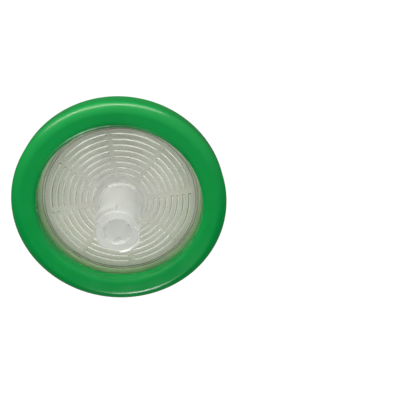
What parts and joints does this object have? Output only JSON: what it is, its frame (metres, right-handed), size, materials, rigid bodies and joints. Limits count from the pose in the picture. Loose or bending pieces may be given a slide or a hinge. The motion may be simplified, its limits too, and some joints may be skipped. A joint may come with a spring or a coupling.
{
  "type": "syringe filter",
  "caption": "Round syringe filter with a female luer lock inlet, a male luer slip outlet, clear ribbed housings around a white membrane, and a coloured overmoulded sealing ring.",
  "frame": {"origin": "centre of the flat end of the outlet tip, on the flow axis", "axes": "+Z along the flow axis from the outlet tip to the inlet mouth, +X through the middle of one luer lug"},
  "size_m": [0.0356, 0.0356, 0.0253],
  "materials": {
    "clear_housing": "translucent natural polypropylene, faintly frosted",
    "membrane": "white porous membrane",
    "green_ring": "satin green polypropylene"
  },
  "bodies": {
    "root": {"inlet_housing": "clear_housing", "outlet_housing": "clear_housing", "filter_membrane": "membrane", "sealing_ring": "green_ring"}
  },
  "joints": []
}
